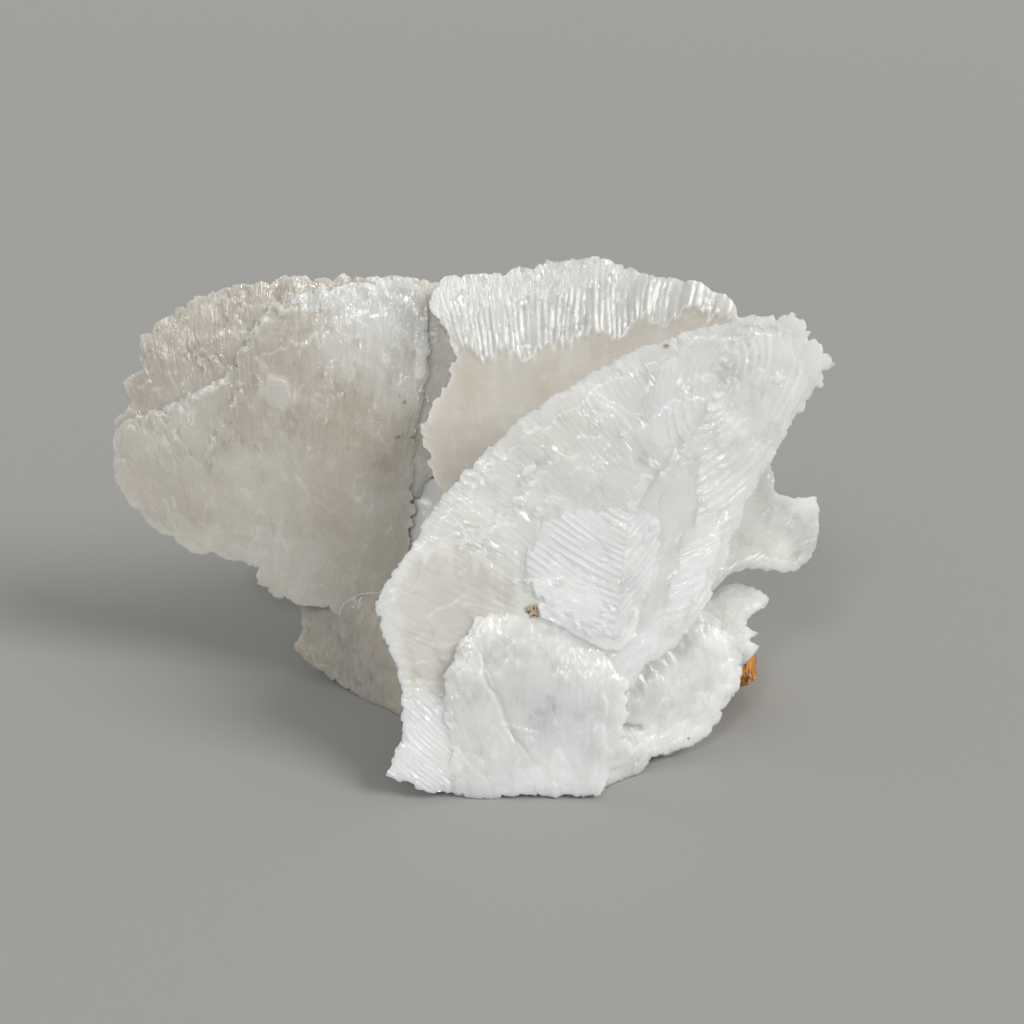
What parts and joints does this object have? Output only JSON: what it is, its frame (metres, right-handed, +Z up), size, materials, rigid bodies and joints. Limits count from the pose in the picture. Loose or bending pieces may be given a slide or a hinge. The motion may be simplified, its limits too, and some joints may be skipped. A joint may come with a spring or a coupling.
{
  "type": "calcite cluster",
  "caption": "Milky white cluster of thin, serrated calcite blades grown through one another, cut flat below, with a speck of rusty matrix. A display mineral.",
  "frame": {"origin": "middle of the footprint, on the flat cut that the cluster rests on", "axes": "+Z up, the broad front fan faces -Y, +X to its right, along the longest side"},
  "size_m": [0.1394, 0.0918, 0.0857],
  "materials": {
    "milky_calcite": "milky white, slightly translucent, silky striae with bright glints",
    "iron_stained_matrix": "dull orange-brown, streaked and pitted"
  },
  "bodies": {
    "root": {"calcite_cluster": "milky_calcite", "iron_stained_grain": "iron_stained_matrix"}
  },
  "joints": []
}
